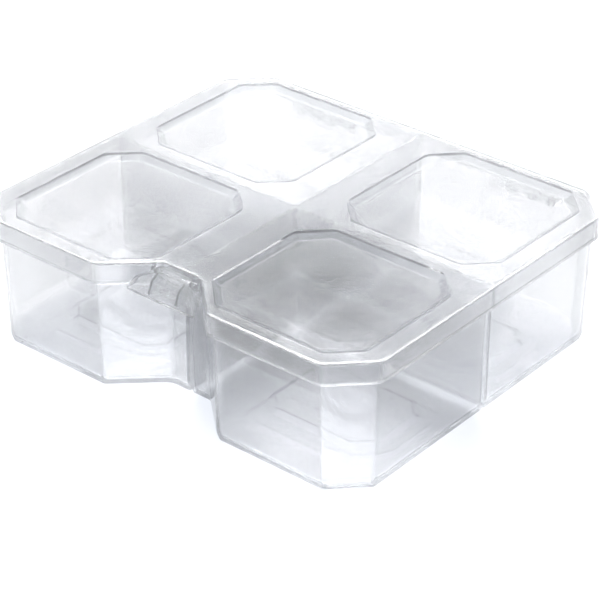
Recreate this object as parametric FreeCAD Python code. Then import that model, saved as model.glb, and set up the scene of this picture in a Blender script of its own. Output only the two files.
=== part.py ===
# Clear four-pocket tackle box: a moulded tub with crossed hollow dividers, a hinged lid with four
# sunk windows, two rear hinge pins and a pinned front latch in a finger notch.
# Millimetres, +Z up. The notch is on the -Y side, the hinges are on the +Y side.
import FreeCAD, Part
import math
import os

V = FreeCAD.Vector

# ---- driving dimensions -------------------------------------------------------------------
WIDTH, DEPTH, HEIGHT = 200.0, 173.2, 58.4   # outside of the closed box
CORNER = 16.4                # leg of each corner chamfer
NOTCH_MOUTH = 28.8           # half width of the finger notch at the front edge
NOTCH_INNER = 9.0            # half width at the notch's inner wall
NOTCH_DEPTH = 18.3
ROUND_OUT, ROUND_IN = 7.2, 2.5   # plan radii at the outline's outward and inward corners
ROUND_LEAST = 0.4
SKIRT = 9.2                  # height of the lid's skirt
SKIRT_T = 1.5
LID_T = 1.4
LIP_H, LIP_OUT = 1.1, 0.3    # bead round the skirt's lower edge
TOP_ROUND = 1.3              # rounding of the lid's upper edge

FOOT = 0.8                   # the corner feet lift the floor by this much
FLOOR_T = 1.5
WALL_T = 1.4
INSET_BOTTOM, INSET_BEVEL, INSET_TOP, INSET_RIM = 4.6, 3.6, 2.6, 2.0
BEVEL_H = 3.0                # height of the bevel round the tub's lower edge
SHOULDER_Z, SHOULDER_H = 47.4, 0.8
RIM_TOP = 56.5

RIDGE_FOOT, RIDGE_TOP = 2.4, 0.8       # half widths of a divider ridge at the floor and the top
VOID_FOOT, VOID_TOP = 1.35, 0.2        # half widths of the channel inside it
VOID_H = 43.0
NICK_H = 3.2                           # V nick in the wall's lower edge at each ridge end

PAD_X, PAD_Y = 54.0, 34.8              # centre of each raised floor octagon
PAD_HALF_X, PAD_HALF_Y = 27.4, 21.0
PAD_CUT, PAD_RISE, PAD_SLOPE, PAD_ROUND = 8.0, 1.6, 2.2, 4.5
FOOT_INSET, FOOT_W, FOOT_HOOK = 6.6, 3.8, 4.5

WIN_X = (13.7, 90.2)                   # window edges, from the centre line to the side
WIN_FRONT = (5.2, 78.7)                # distances from the cross rib towards the front
WIN_REAR = (4.6, 81.0)                 # and towards the hinges
WIN_CUT, WIN_CUT_NOTCH = 11.5, 13.2    # chamfers at the window corners
WIN_SINK, WIN_SLOPE = 2.0, 3.0
WIN_ROUND = 4.2
WIN_WALL = 1.3

HINGE_X = 52.5                         # centre of each hinge
HINGE_Y, HINGE_Z = 85.0, 47.4          # axis
KNUCKLE_R, PIN_R, RUN = 1.4, 0.60, 0.05
TUB_LUG, LID_KNUCKLE, TUB_KNUCKLE, GAP = 2.0, 6.5, 3.0, 0.3
LUG_END = 0.8                          # closed end that keeps the pin in
LUG_TIP_Z = 44.9                       # lower end of the outer lugs
POCKET_Y, POCKET_T = 83.2, 1.4         # shallow pocket in the rear wall that takes the knuckles
POCKET_Z = (45.5, 49.3)
NUB_X = 9.4

LATCH_Y, LATCH_Z = -71.4, 56.3         # latch axis
LATCH_HALF = 8.6
LATCH_R, LATCH_PIN_R = 1.7, 0.75
LATCH_SKIN = 1.2
EAR_T, EAR_GAP = 2.4, 0.3
LATCH_TIP = -80.6
CATCH_HALF, CATCH_FRONT = 7.0, -70.5


# ---- outlines and basic solids ------------------------------------------------------------
# An outline is a counter-clockwise list of corners (x, y, r), r being the plan radius there.
def box_outline():
    """Plan outline of the closed lid."""
    w, d, big, small = WIDTH / 2, DEPTH / 2, ROUND_OUT, ROUND_IN
    return [(-w + CORNER, -d, big), (-NOTCH_MOUTH, -d, big),
            (-NOTCH_INNER, -d + NOTCH_DEPTH, small), (NOTCH_INNER, -d + NOTCH_DEPTH, small),
            (NOTCH_MOUTH, -d, big), (w - CORNER, -d, big),
            (w, -d + CORNER, big), (w, d - CORNER, big), (w - CORNER, d, big),
            (-w + CORNER, d, big), (-w, d - CORNER, big), (-w, -d + CORNER, big)]


def directions(points, i):
    """Unit vectors of the sides before and after corner i."""
    x, y = points[i][:2]
    px, py = points[i - 1][:2]
    nx, ny = points[(i + 1) % len(points)][:2]
    la, lb = math.hypot(x - px, y - py), math.hypot(nx - x, ny - y)
    return (x - px) / la, (y - py) / la, (nx - x) / lb, (ny - y) / lb


def inset(points, dist):
    """Parallel inward offset: outward corners tighten, inward corners open."""
    result = []
    for i, (x, y, r) in enumerate(points):
        ax, ay, bx, by = directions(points, i)
        k = dist / (1 + ax * bx + ay * by)
        turn = 1 if ax * by - ay * bx > 0 else -1
        result.append((x - k * (ay + by), y + k * (ax + bx), max(r - turn * dist, ROUND_LEAST)))
    return result


def corner_points(points, i, z):
    """Start, middle and end of the arc at corner i."""
    x, y, r = points[i]
    ax, ay, bx, by = directions(points, i)
    half = math.acos(max(-1.0, min(1.0, ax * bx + ay * by))) / 2
    t = r * math.tan(half)
    ux, uy = bx - ax, by - ay
    size = math.hypot(ux, uy)
    sag = r / math.cos(half) - r
    return (V(x - ax * t, y - ay * t, z), V(x + ux / size * sag, y + uy / size * sag, z),
            V(x + bx * t, y + by * t, z))


def outline_edges(points, z):
    """Arcs at the corners and lines between them, as (arcs, lines)."""
    bends = [corner_points(points, i, z) for i in range(len(points))]
    arcs = [Part.Arc(*bend).toShape() for bend in bends]
    lines = [Part.makeLine(bend[2], bends[(i + 1) % len(bends)][0])
             for i, bend in enumerate(bends)]
    return arcs, lines


def polygon_face(corners):
    return Part.Face(Part.makePolygon(list(corners) + [corners[0]]))


def outline_face(points, z):
    arcs, lines = outline_edges(points, z)
    return Part.Face(Part.Wire([e for pair in zip(arcs, lines) for e in pair]))


def stack(sections):
    """Solid through stacked parallel outlines given as (outline, z)."""
    faces = [outline_face(*sections[0]), outline_face(*sections[-1])]
    for (low, z0), (high, z1) in zip(sections, sections[1:]):
        arcs0, lines0 = outline_edges(low, z0)
        arcs1, lines1 = outline_edges(high, z1)
        faces += [Part.makeRuledSurface(a, b) for a, b in zip(arcs0, arcs1)]
        for a, b in zip(lines0, lines1):
            (a0, a1), (b0, b1) = [[v.Point for v in e.Vertexes] for e in (a, b)]
            faces.append(polygon_face([a0, a1, b1, b0]))
    shell = Part.makeShell(faces)
    shell.sewShape()
    solid = Part.makeSolid(shell)
    if solid.Volume < 0:
        solid.reverse()
    return solid


def block(x0, x1, y0, y1, z0, z1):
    return Part.makeBox(x1 - x0, y1 - y0, z1 - z0, V(x0, y0, z0))


def rod_x(x0, x1, y, z, r):
    return Part.makeCylinder(r, x1 - x0, V(x0, y, z), V(1, 0, 0))


def ridge(half_low, half_high, z0, z1, along_x, start, end):
    """Straight bar with a trapezoid section, lying along X or Y."""
    section = [(-half_low, z0), (half_low, z0), (half_high, z1), (-half_high, z1)]
    if along_x:
        face = polygon_face([V(start, a, z) for a, z in section])
        return face.extrude(V(end - start, 0, 0))
    face = polygon_face([V(a, start, z) for a, z in section])
    return face.extrude(V(0, end - start, 0))


def chamfered(cx, cy, hx, hy, cuts, r):
    """Octagon about (cx, cy); cuts go round from the (+X, +Y) corner counter-clockwise."""
    a, b, c, d = cuts
    return [(cx + hx, cy + hy - a, r), (cx + hx - a, cy + hy, r), (cx - hx + b, cy + hy, r),
            (cx - hx, cy + hy - b, r), (cx - hx, cy - hy + c, r), (cx - hx + c, cy - hy, r),
            (cx + hx - d, cy - hy, r), (cx + hx, cy - hy + d, r)]


def union(shapes):
    return shapes[0].multiFuse(shapes[1:]).removeSplitter()


# ---- tub ----------------------------------------------------------------------------------
def tub_envelope():
    """Outside of the tub, filled."""
    o = box_outline()
    return stack([(inset(o, INSET_BOTTOM), FOOT), (inset(o, INSET_BEVEL), FOOT + BEVEL_H),
                  (inset(o, INSET_TOP), SHOULDER_Z),
                  (inset(o, INSET_RIM), SHOULDER_Z + SHOULDER_H), (inset(o, INSET_RIM), RIM_TOP)])


def tub_cavity():
    o = box_outline()
    z = FOOT + FLOOR_T
    return stack([(inset(o, INSET_BOTTOM + WALL_T + 0.3), z),
                  (inset(o, INSET_BEVEL + WALL_T), z + BEVEL_H),
                  (inset(o, INSET_TOP + WALL_T), SHOULDER_Z + 0.6),
                  (inset(o, INSET_RIM + WALL_T), SHOULDER_Z + SHOULDER_H + 0.6),
                  (inset(o, INSET_RIM + WALL_T), RIM_TOP)])


def divider_ridges(envelope):
    bars = [ridge(RIDGE_FOOT, RIDGE_TOP, FOOT, RIM_TOP, True, -WIDTH, WIDTH),
            ridge(RIDGE_FOOT, RIDGE_TOP, FOOT, RIM_TOP, False, -DEPTH, DEPTH)]
    return union(bars).common(envelope)


def divider_voids():
    """Channels inside the ridges, open underneath, and the nicks where they meet the walls."""
    side = WIDTH / 2 - INSET_BOTTOM - WALL_T
    rear = DEPTH / 2 - INSET_BOTTOM - WALL_T
    front = rear - NOTCH_DEPTH
    shapes = [ridge(VOID_FOOT, VOID_TOP, 0, VOID_H, True, -side, side),
              ridge(VOID_FOOT, VOID_TOP, 0, VOID_H, False, -front, rear),
              ridge(VOID_FOOT, 0.05, 0, FOOT + NICK_H, True, -WIDTH, WIDTH),
              ridge(VOID_FOOT, 0.05, 0, FOOT + NICK_H, False, -DEPTH, DEPTH)]
    return union(shapes)


def floor_octagon(cx, cy, grow, z):
    """Frustum of one floor octagon, standing on height z."""
    low = chamfered(cx, cy, PAD_HALF_X + grow, PAD_HALF_Y + grow, [PAD_CUT] * 4,
                    PAD_ROUND + grow)
    return stack([(low, z), (inset(low, PAD_SLOPE), z + PAD_RISE)])


def corner_feet():
    """Bent bars under the four corners, following the chamfer and turning along the sides."""
    o = box_outline()
    outer = stack([(inset(o, FOOT_INSET), 0), (inset(o, FOOT_INSET), FOOT + 0.2)])
    inner = stack([(inset(o, FOOT_INSET + FOOT_W), 0), (inset(o, FOOT_INSET + FOOT_W), FOOT + 0.2)])
    ring = outer.cut(inner)
    x, y = WIDTH / 2 - CORNER - FOOT_HOOK, DEPTH / 2 - CORNER - FOOT_HOOK
    feet = []
    for sx in (-1, 1):
        for sy in (-1, 1):
            zone = block(*sorted((sx * x, sx * WIDTH)), *sorted((sy * y, sy * DEPTH)), -1, 2)
            feet.append(ring.common(zone))
    return feet


def hinge_segments(centre):
    """Stretches of one hinge along X as (x0, x1, belongs to the tub)."""
    lengths = [TUB_LUG, LID_KNUCKLE, TUB_KNUCKLE, LID_KNUCKLE, TUB_KNUCKLE, LID_KNUCKLE, TUB_LUG]
    x = centre - (sum(lengths) + GAP * (len(lengths) - 1)) / 2
    result = []
    for i, length in enumerate(lengths):
        result.append((x, x + length, i % 2 == 0))
        x += length + GAP
    return result


def hinge_span(centre):
    pieces = hinge_segments(centre)
    return pieces[0][0] + LUG_END, pieces[-1][1] - LUG_END


def hinge_pocket(centre):
    """Space cut out of the rear wall, and the swelling inside that keeps the wall's thickness."""
    pieces = hinge_segments(centre)
    x0, x1 = pieces[0][0] - GAP, pieces[-1][1] + GAP
    low, high = POCKET_Z
    swelling = block(x0 - POCKET_T, x1 + POCKET_T, POCKET_Y - POCKET_T, POCKET_Y + 0.6,
                     low - POCKET_T, high + POCKET_T)
    return block(x0, x1, POCKET_Y, DEPTH / 2 + 1, low, high), swelling


def tub_hinge_parts(centre):
    """Knuckles on the tub; the outer two run down as small lugs."""
    pieces = hinge_segments(centre)
    shapes = []
    for i, (x0, x1, on_tub) in enumerate(pieces):
        if on_tub:
            shapes.append(rod_x(x0, x1, HINGE_Y, HINGE_Z, KNUCKLE_R))
            outer = i in (0, len(pieces) - 1)
            low = LUG_TIP_Z if outer else HINGE_Z - KNUCKLE_R
            shapes.append(block(x0, x1, POCKET_Y - 0.3, HINGE_Y + (0.5 if outer else 0),
                                low, HINGE_Z + (0 if outer else 0.9)))
            if outer:
                shapes.append(block(x0, x1, POCKET_Y - 0.3, HINGE_Y, HINGE_Z, HINGE_Z + 0.9))
    return shapes


def rest_nubs():
    """Two small nubs on the rear wall under the skirt, either side of the divider."""
    y = DEPTH / 2 - INSET_TOP
    return [block(s * NUB_X - 0.7, s * NUB_X + 0.7, y - 0.8, y + 1.2, HINGE_Z - 1.8, HINGE_Z + 0.6)
            for s in (-1, 1)]


def latch_catch():
    """Nose on the notch wall that the latch's tongue stands in front of."""
    wall = -DEPTH / 2 + NOTCH_DEPTH + INSET_TOP + WALL_T / 2
    side = [V(-CATCH_HALF, wall, 42.6), V(-CATCH_HALF, wall, 48.2),
            V(-CATCH_HALF, CATCH_FRONT, 48.2), V(-CATCH_HALF, CATCH_FRONT, 46.8)]
    return polygon_face(side).extrude(V(2 * CATCH_HALF, 0, 0))


def make_tub():
    envelope = tub_envelope()
    shell = envelope.cut(tub_cavity())
    pads = [(sx * PAD_X, sy * PAD_Y) for sx in (-1, 1) for sy in (-1, 1)]
    added = [shell, divider_ridges(envelope), latch_catch()]
    added += [floor_octagon(cx, cy, 0, FOOT + FLOOR_T) for cx, cy in pads]
    added += corner_feet() + rest_nubs()
    pockets = [hinge_pocket(centre) for centre in (-HINGE_X, HINGE_X)]
    tub = union(added + [swelling for _, swelling in pockets])
    tub = tub.cut(union([space for space, _ in pockets]))
    tub = union([tub] + tub_hinge_parts(-HINGE_X) + tub_hinge_parts(HINGE_X))
    cuts = [divider_voids()] + [floor_octagon(cx, cy, -0.6, FOOT) for cx, cy in pads]
    for centre in (-HINGE_X, HINGE_X):
        x0, x1 = hinge_span(centre)
        cuts.append(rod_x(x0, x1, HINGE_Y, HINGE_Z, PIN_R + RUN))
    return tub.cut(union(cuts)).removeSplitter()


# ---- lid ----------------------------------------------------------------------------------
def windows():
    """The four window outlines at the lid's top face."""
    result = []
    for sx in (-1, 1):
        for sy, (y0, y1) in ((-1, WIN_FRONT), (1, WIN_REAR)):
            cx, cy = sx * (WIN_X[0] + WIN_X[1]) / 2, sy * (y0 + y1) / 2
            hx, hy = (WIN_X[1] - WIN_X[0]) / 2, (y1 - y0) / 2
            cuts = [WIN_CUT] * 4
            if sy < 0:
                cuts[2 if sx > 0 else 3] = WIN_CUT_NOTCH
            result.append(chamfered(cx, cy, hx, hy, cuts, WIN_ROUND))
    return result


def window_pan(outline):
    """Underside of one sunk window."""
    run, drop = WIN_SLOPE, WIN_SINK
    slant = math.hypot(run, drop)
    out, down = WIN_WALL * drop / slant, WIN_WALL * run / slant
    top, low = HEIGHT - LID_T + 0.4, HEIGHT - WIN_SINK - WIN_WALL
    grow = out + (top - (HEIGHT - down)) * run / drop
    shrink = (HEIGHT - down - low) * run / drop - out
    return stack([(inset(outline, shrink), low), (inset(outline, -grow), top)])


def window_sink(outline):
    return stack([(inset(outline, WIN_SLOPE), HEIGHT - WIN_SINK), (outline, HEIGHT)])


def lid_shell():
    o = box_outline()
    z = HEIGHT - SKIRT
    turns = [math.radians(a) for a in (0, 30, 60, 90)]
    top = [(inset(o, LIP_OUT + TOP_ROUND * (1 - math.cos(a))),
            HEIGHT - TOP_ROUND * (1 - math.sin(a))) for a in turns]
    outer = stack([(o, z), (o, z + LIP_H), (inset(o, LIP_OUT), z + LIP_H + LIP_OUT)] + top)
    return outer.cut(stack([(inset(o, SKIRT_T), z), (inset(o, SKIRT_T), HEIGHT - LID_T)]))


def lid_hinge_parts(centre):
    shapes = []
    for x0, x1, on_tub in hinge_segments(centre):
        if not on_tub:
            shapes.append(rod_x(x0, x1, HINGE_Y, HINGE_Z, KNUCKLE_R))
            shapes.append(block(x0, x1, DEPTH / 2 - SKIRT_T + 0.1, HINGE_Y + KNUCKLE_R,
                                HINGE_Z, HEIGHT - SKIRT + 0.5))
    return shapes


def latch_ears():
    """Ears on the notch wall that carry the latch pin."""
    wall = -DEPTH / 2 + NOTCH_DEPTH + 0.1
    shapes = []
    for s in (-1, 1):
        x0, x1 = sorted((s * (LATCH_HALF + EAR_GAP), s * (LATCH_HALF + EAR_GAP + EAR_T)))
        shapes.append(rod_x(x0, x1, LATCH_Y, LATCH_Z, LATCH_R))
        shapes.append(block(x0, x1, LATCH_Y, wall, LATCH_Z - LATCH_R, LATCH_Z + LATCH_R))
    return shapes


def latch_pin_end():
    return LATCH_HALF + EAR_GAP + EAR_T - 0.9


def make_lid():
    outlines = windows()
    added = [lid_shell()] + [window_pan(w) for w in outlines] + latch_ears()
    added += lid_hinge_parts(-HINGE_X) + lid_hinge_parts(HINGE_X)
    cuts = [window_sink(w) for w in outlines]
    for centre in (-HINGE_X, HINGE_X):
        x0, x1 = hinge_span(centre)
        cuts.append(rod_x(x0, x1, HINGE_Y, HINGE_Z, PIN_R + RUN))
    end = latch_pin_end()
    cuts.append(rod_x(-end, end, LATCH_Y, LATCH_Z, LATCH_PIN_R + RUN))
    return union(added).cut(union(cuts)).removeSplitter()


# ---- latch and pins -----------------------------------------------------------------------
def latch_section(back_half, back_y, front_half, front_y, z):
    return Part.makePolygon([V(-back_half, back_y, z), V(-front_half, front_y, z),
                             V(front_half, front_y, z), V(back_half, back_y, z),
                             V(-back_half, back_y, z)])


def latch_hull(skin, back_y):
    """Bulging wedge: narrow flat top, wide lower edge. skin shrinks it to make the inside."""
    top, low = HEIGHT - 0.2 - skin, HEIGHT - SKIRT - (0.5 if skin else 0)
    tip = LATCH_TIP + skin
    return Part.makeLoft([
        latch_section(8.5 - skin, back_y, 8.5 - skin, -74.0 + skin * 0.6, top),
        latch_section(9.4 - skin, back_y, 14.2 - skin * 1.2, tip + 2.2, 55.2 - skin * 0.6),
        latch_section(9.9 - skin, back_y, 18.0 - skin * 1.3, tip, low)], True, True)


def make_front_latch():
    back = LATCH_Y + 1.8
    hull = latch_hull(0, back)
    shell = hull.cut(latch_hull(LATCH_SKIN, back + 0.5))
    ribs = [block(s * 6.9 - 0.5, s * 6.9 + 0.5, LATCH_TIP, CATCH_FRONT - 0.5, 49.8, HEIGHT)
            .common(hull) for s in (-1, 1)]
    tongue = block(-7.5, 7.5, CATCH_FRONT - 1.9, CATCH_FRONT - 0.5, 46.2, 53.5)
    barrel = rod_x(-LATCH_HALF, LATCH_HALF, LATCH_Y, LATCH_Z, LATCH_R)
    latch = union([shell, barrel, tongue] + ribs)
    clear = [rod_x(LATCH_HALF, 20, LATCH_Y, LATCH_Z, 2.7),
             rod_x(-20, -LATCH_HALF, LATCH_Y, LATCH_Z, 2.7),
             rod_x(-20, 20, LATCH_Y, LATCH_Z, LATCH_PIN_R + RUN)]
    return latch.cut(union(clear)).removeSplitter()


def make_hinge_pin(centre):
    x0, x1 = hinge_span(centre)
    return rod_x(x0 + 0.2, x1 - 0.2, HINGE_Y, HINGE_Z, PIN_R)


def make_latch_pin():
    end = latch_pin_end() - 0.2
    return rod_x(-end, end, LATCH_Y, LATCH_Z, LATCH_PIN_R)


# ---- export -------------------------------------------------------------------------------
os.makedirs("parts", exist_ok=True)
nodes = {
    "tub": make_tub(),
    "lid": make_lid(),
    "front_latch": make_front_latch(),
    "left_hinge_pin": make_hinge_pin(-HINGE_X),
    "right_hinge_pin": make_hinge_pin(HINGE_X),
    "latch_pin": make_latch_pin(),
}
for name, shape in nodes.items():
    solids = shape.Solids
    if len(solids) != 1 or not shape.isValid():
        raise ValueError("%s: %d solids, valid %s" % (name, len(solids), shape.isValid()))
    solids[0].exportStep("parts/%s.step" % name)
    box = shape.BoundBox
    print("%-16s volume %8.0f  x %.1f..%.1f  y %.1f..%.1f  z %.1f..%.1f" % (
        name, shape.Volume, box.XMin, box.XMax, box.YMin, box.YMax, box.ZMin, box.ZMax))
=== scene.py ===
import bpy, bmesh, math
from mathutils import Matrix, Vector


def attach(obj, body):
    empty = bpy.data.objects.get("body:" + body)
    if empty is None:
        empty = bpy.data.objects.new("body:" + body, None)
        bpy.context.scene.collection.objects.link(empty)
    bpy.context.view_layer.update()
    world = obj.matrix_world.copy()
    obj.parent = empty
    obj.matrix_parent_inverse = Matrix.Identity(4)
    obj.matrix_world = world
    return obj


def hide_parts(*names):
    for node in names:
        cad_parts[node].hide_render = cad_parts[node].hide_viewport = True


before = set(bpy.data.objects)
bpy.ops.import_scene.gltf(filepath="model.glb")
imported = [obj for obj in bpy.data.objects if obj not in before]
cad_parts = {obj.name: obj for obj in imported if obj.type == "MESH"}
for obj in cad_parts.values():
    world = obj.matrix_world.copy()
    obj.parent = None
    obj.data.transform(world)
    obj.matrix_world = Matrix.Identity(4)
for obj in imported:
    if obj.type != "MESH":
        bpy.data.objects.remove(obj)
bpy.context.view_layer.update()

MM = 0.001

# ---- driving values -----------------------------------------------------------------------
IOR, COAT_IOR = 1.32, 1.5
COAT_ROUGH = 0.03
ROUGH = (0.0, 0.012)             # smoothest and roughest patch of the plastic
STRAIGHT = 0.35                  # share of the view that a wall passes unbent
BLOTCH_SCALE, BLOTCH_DETAIL = 22.0, 3.0
BLOTCH_RANGE = (0.3, 0.75)
BLOTCH_SHADE = 0.97              # darkest tint relative to the base tint
WAVE_SCALE, WAVE_DETAIL = 9.0, 1.0
WAVE_STRENGTH, WAVE_HEIGHT = 0.02, 0.002

SHARP = 31                       # degrees; edges sharper than this are rounded off
SMOOTH = 50                      # degrees; faces flatter than this blend their normals
FLAT = 0.6                       # degrees; faces flatter than this are merged
WELD = 2e-6
ROUND_BOX, ROUND_LATCH, ROUND_PIN = 0.3 * MM, 0.2 * MM, 0.12 * MM

FLOOR_HALF, FLOOR_DROP = 6.0, 0.0002
FLOOR_COLOUR, FLOOR_ROUGH = (0.93, 0.94, 0.955), 0.6
AIR_COLOUR, AIR_STRENGTH = (0.97, 0.98, 1.0), 0.62
AIM = (0, 0, 0.03)

AZIMUTH, ELEVATION, ROLL = math.radians(39.73), math.radians(30.91), math.radians(0.12)
CAMERA_PLACE = Vector((525.33, -628.99, 504.46)) * MM
LENS, SENSOR = 139.3, 36.0


# ---- materials ----------------------------------------------------------------------------
def noise(nt, vector, scale, detail):
    node = nt.nodes.new("ShaderNodeTexNoise")
    node.inputs["Scale"].default_value = scale
    node.inputs["Detail"].default_value = detail
    nt.links.new(vector, node.inputs["Vector"])
    return node.outputs["Fac"]


def larger(nt, a):
    """Maximum of socket a and the node's second input."""
    node = nt.nodes.new("ShaderNodeMath")
    node.operation = "MAXIMUM"
    nt.links.new(a, node.inputs[0])
    return node


def clear_plastic(name, tint, through, seed=0.0):
    """Clear moulded plastic: refracting body, faint flow waves, patchy gloss, lets lamps through."""
    mat = bpy.data.materials.new(name)
    mat.use_nodes = True
    nt = mat.node_tree
    nt.nodes.clear()
    new, link = nt.nodes.new, nt.links.new
    out = new("ShaderNodeOutputMaterial")
    body = new("ShaderNodeBsdfPrincipled")
    body.inputs["Transmission Weight"].default_value = 1.0
    body.inputs["IOR"].default_value = IOR
    body.inputs["Coat Weight"].default_value = 1.0
    body.inputs["Coat Roughness"].default_value = COAT_ROUGH
    body.inputs["Coat IOR"].default_value = COAT_IOR
    coord = new("ShaderNodeTexCoord")
    place = new("ShaderNodeMapping")
    place.inputs["Location"].default_value = (seed, seed * 1.7, seed * 0.6)
    link(coord.outputs["Object"], place.inputs["Vector"])
    blotch = noise(nt, place.outputs["Vector"], BLOTCH_SCALE, BLOTCH_DETAIL)
    gloss = new("ShaderNodeMapRange")
    gloss.inputs["From Min"].default_value = BLOTCH_RANGE[0]
    gloss.inputs["From Max"].default_value = BLOTCH_RANGE[1]
    gloss.inputs["To Min"].default_value = ROUGH[0]
    gloss.inputs["To Max"].default_value = ROUGH[1]
    link(blotch, gloss.inputs["Value"])
    link(gloss.outputs["Result"], body.inputs["Roughness"])
    colour = new("ShaderNodeMix")
    colour.data_type = "RGBA"
    colour.inputs["A"].default_value = (*tint, 1)
    colour.inputs["B"].default_value = (*[c * BLOTCH_SHADE for c in tint], 1)
    link(blotch, colour.inputs["Factor"])
    link(colour.outputs["Result"], body.inputs["Base Color"])
    bump = new("ShaderNodeBump")
    bump.inputs["Strength"].default_value = WAVE_STRENGTH
    bump.inputs["Distance"].default_value = WAVE_HEIGHT
    link(noise(nt, place.outputs["Vector"], WAVE_SCALE, WAVE_DETAIL), bump.inputs["Height"])
    link(bump.outputs["Normal"], body.inputs["Normal"])
    lamps = new("ShaderNodeBsdfTransparent")
    lamps.inputs["Color"].default_value = (*through, 1)
    path = new("ShaderNodeLightPath")
    either = larger(nt, path.outputs["Is Shadow Ray"])
    link(path.outputs["Is Diffuse Ray"], either.inputs[1])
    share = larger(nt, either.outputs["Value"])
    share.inputs[1].default_value = STRAIGHT
    mix = new("ShaderNodeMixShader")
    link(share.outputs["Value"], mix.inputs["Fac"])
    link(body.outputs["BSDF"], mix.inputs[1])
    link(lamps.outputs["BSDF"], mix.inputs[2])
    link(mix.outputs["Shader"], out.inputs["Surface"])
    return mat


BOX_TINT, BOX_THROUGH = (0.95, 0.951, 0.953), (0.925, 0.93, 0.94)
MATS = {
    "tub_plastic": clear_plastic("clear_tub", BOX_TINT, BOX_THROUGH),
    "lid_plastic": clear_plastic("clear_lid", BOX_TINT, BOX_THROUGH, seed=3.1),
    "latch_plastic": clear_plastic("clear_latch", (0.97, 0.97, 0.972), (0.94, 0.945, 0.95),
                                   seed=5.7),
    "pin_plastic": clear_plastic("clear_pin", (0.92, 0.925, 0.93), (0.89, 0.90, 0.91), seed=8.2),
}


# ---- rounded copies of the frame's nodes --------------------------------------------------
def shade(mesh):
    """Normals weighted by face area: flats stay flat, bevels and round corners blend."""
    limit = math.cos(math.radians(SMOOTH))
    polys = mesh.polygons
    around = [[] for _ in mesh.vertices]
    for poly in polys:
        for v in poly.vertices:
            around[v].append(poly.index)
    normals = []
    for poly in polys:
        for v in poly.vertices:
            near = [polys[i] for i in around[v] if polys[i].normal.dot(poly.normal) > limit]
            total = sum((q.normal * q.area for q in near), Vector())
            normals.append(total.normalized() if total.length else poly.normal)
    mesh.shade_smooth()
    mesh.normals_split_custom_set(normals)


def rounded_copy(node, name, slot, body, width):
    """Same shape as the frame's node with its sharp edges rounded off."""
    bm = bmesh.new()
    bm.from_mesh(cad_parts[node].data)
    bmesh.ops.remove_doubles(bm, verts=bm.verts, dist=WELD)
    bmesh.ops.dissolve_limit(bm, angle_limit=math.radians(FLAT), verts=bm.verts, edges=bm.edges)
    sharp = [e for e in bm.edges if len(e.link_faces) == 2
             and e.calc_face_angle(0) > math.radians(SHARP)]
    bmesh.ops.bevel(bm, geom=sharp, offset=width, offset_type="OFFSET", segments=2,
                    profile=0.5, affect="EDGES", clamp_overlap=True)
    bmesh.ops.triangulate(bm, faces=[f for f in bm.faces if len(f.verts) > 4])
    mesh = bpy.data.meshes.new(name)
    bm.to_mesh(mesh)
    bm.free()
    shade(mesh)
    obj = bpy.data.objects.new(name, mesh)
    bpy.context.scene.collection.objects.link(obj)
    mesh.materials.append(MATS[slot])
    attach(obj, body)
    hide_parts(node)


rounded_copy("tub", "clear_tub_moulding", "tub_plastic", "tub", ROUND_BOX)
rounded_copy("lid", "clear_lid_moulding", "lid_plastic", "lid", ROUND_BOX)
rounded_copy("front_latch", "clear_latch_tab", "latch_plastic", "latch", ROUND_LATCH)
for pin, body in (("left_hinge_pin", "tub"), ("right_hinge_pin", "tub"), ("latch_pin", "lid")):
    rounded_copy(pin, pin + "_rod", "pin_plastic", body, ROUND_PIN)


# ---- studio -------------------------------------------------------------------------------
def pale_floor():
    mat = bpy.data.materials.new("pale_floor")
    mat.use_nodes = True
    p = mat.node_tree.nodes["Principled BSDF"]
    p.inputs["Base Color"].default_value = (*FLOOR_COLOUR, 1)
    p.inputs["Roughness"].default_value = FLOOR_ROUGH
    mesh = bpy.data.meshes.new("studio_floor")
    s = FLOOR_HALF
    mesh.from_pydata([(-s, -s, 0), (s, -s, 0), (s, s, 0), (-s, s, 0)], [], [(0, 1, 2, 3)])
    obj = bpy.data.objects.new("studio_floor", mesh)
    bpy.context.scene.collection.objects.link(obj)
    obj.location.z = -FLOOR_DROP
    mesh.materials.append(mat)


def soft_light(name, place, size, watts, colour):
    data = bpy.data.lights.new(name, "AREA")
    data.shape, data.size, data.energy, data.color = "SQUARE", size, watts, colour
    obj = bpy.data.objects.new(name, data)
    bpy.context.scene.collection.objects.link(obj)
    obj.location = place
    obj.rotation_mode = "QUATERNION"
    obj.rotation_quaternion = (Vector(AIM) - Vector(place)).to_track_quat("-Z", "Y")


def studio():
    world = bpy.data.worlds.new("studio_white")
    bpy.context.scene.world = world
    world.use_nodes = True
    back = world.node_tree.nodes["Background"]
    back.inputs["Color"].default_value = (*AIR_COLOUR, 1)
    back.inputs["Strength"].default_value = AIR_STRENGTH
    soft_light("key", (-0.75, 0.85, 1.5), 0.8, 34.0, (1.0, 0.99, 0.98))
    soft_light("fill", (1.2, -0.6, 0.9), 0.9, 3.0, (0.95, 0.97, 1.0))


def camera():
    back = Vector((math.sin(AZIMUTH) * math.cos(ELEVATION),
                   -math.cos(AZIMUTH) * math.cos(ELEVATION), math.sin(ELEVATION)))
    right = Vector((0, 0, 1)).cross(back).normalized()
    up = back.cross(right)
    r = right * math.cos(ROLL) + up * math.sin(ROLL)
    u = up * math.cos(ROLL) - right * math.sin(ROLL)
    data = bpy.data.cameras.new("camera")
    data.lens, data.sensor_width = LENS, SENSOR
    data.clip_start, data.clip_end = 0.05, 40
    obj = bpy.data.objects.new("camera", data)
    bpy.context.scene.collection.objects.link(obj)
    rot = Matrix((r, u, back)).transposed().to_4x4()
    obj.matrix_world = Matrix.Translation(CAMERA_PLACE) @ rot
    bpy.context.scene.camera = obj


pale_floor()
studio()
camera()
bpy.context.scene.view_settings.view_transform = "Standard"
